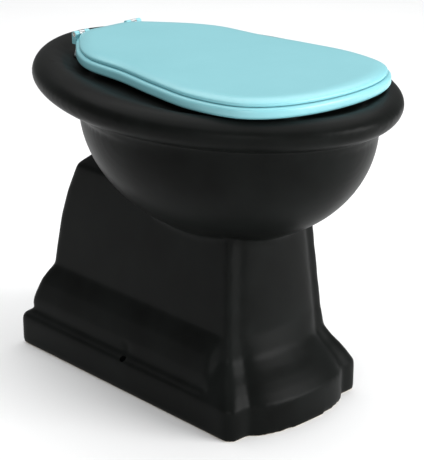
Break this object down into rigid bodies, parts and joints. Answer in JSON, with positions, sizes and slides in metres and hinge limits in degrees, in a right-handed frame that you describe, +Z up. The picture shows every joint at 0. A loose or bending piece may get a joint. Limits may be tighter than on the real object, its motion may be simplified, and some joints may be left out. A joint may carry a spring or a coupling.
{
  "type": "toilet pan",
  "caption": "Floor-standing toilet pan with a rolled rim, round bowl and stepped plinth, with a waisted seat ring and lid that hinge up from concealed hinges.",
  "frame": {"origin": "on the floor, under the middle of the whole part's length and width", "axes": "+Z up, -Y towards the front of the bowl, +X to the right of a person facing the front"},
  "size_m": [0.376, 0.514, 0.4205],
  "materials": {
    "black_china": "satin black glaze",
    "blue_plastic": "semi-gloss moulded thermoset, light blue",
    "hinge_steel": "polished stainless steel",
    "white_nylon": "natural nylon",
    "dark_rubber": "matt rubber",
    "nut_brass": "turned brass",
    "pale_buffer": "soft matt elastomer"
  },
  "bodies": {
    "pan_body": {"pan": "black_china", "inlet_seal": "dark_rubber", "hinge_pillar_left": "hinge_steel", "hinge_pin_left": "hinge_steel", "fixing_screw_left": "hinge_steel", "plate_washer_left": "dark_rubber", "expanding_sleeve_left": "dark_rubber", "expander_nut_left": "nut_brass", "hinge_pillar_right": "hinge_steel", "hinge_pin_right": "hinge_steel", "fixing_screw_right": "hinge_steel", "plate_washer_right": "dark_rubber", "expanding_sleeve_right": "dark_rubber", "expander_nut_right": "nut_brass"},
    "ring_body": {"seat_ring": "blue_plastic", "ring_bush_left": "white_nylon", "ring_bush_right": "white_nylon", "ring_buffer_front_left": "pale_buffer", "ring_buffer_front_right": "pale_buffer", "ring_buffer_back_left": "pale_buffer", "ring_buffer_back_right": "pale_buffer"},
    "lid_body": {"lid": "blue_plastic", "lid_bush_left": "white_nylon", "lid_bush_right": "white_nylon", "lid_buffer_front_left": "pale_buffer", "lid_buffer_front_right": "pale_buffer", "lid_buffer_back_left": "pale_buffer", "lid_buffer_back_right": "pale_buffer"}
  },
  "joints": [
    {"name": "ring_hinge", "type": "hinge", "parent": "pan_body", "child": "ring_body", "pos_m": [0, 0.187, 0.4153], "axis": [-1, 0, 0], "range_deg": [0, 92]},
    {"name": "lid_hinge", "type": "hinge", "parent": "ring_body", "child": "lid_body", "pos_m": [0, 0.187, 0.4153], "axis": [-1, 0, 0], "range_deg": [0, 93]}
  ]
}
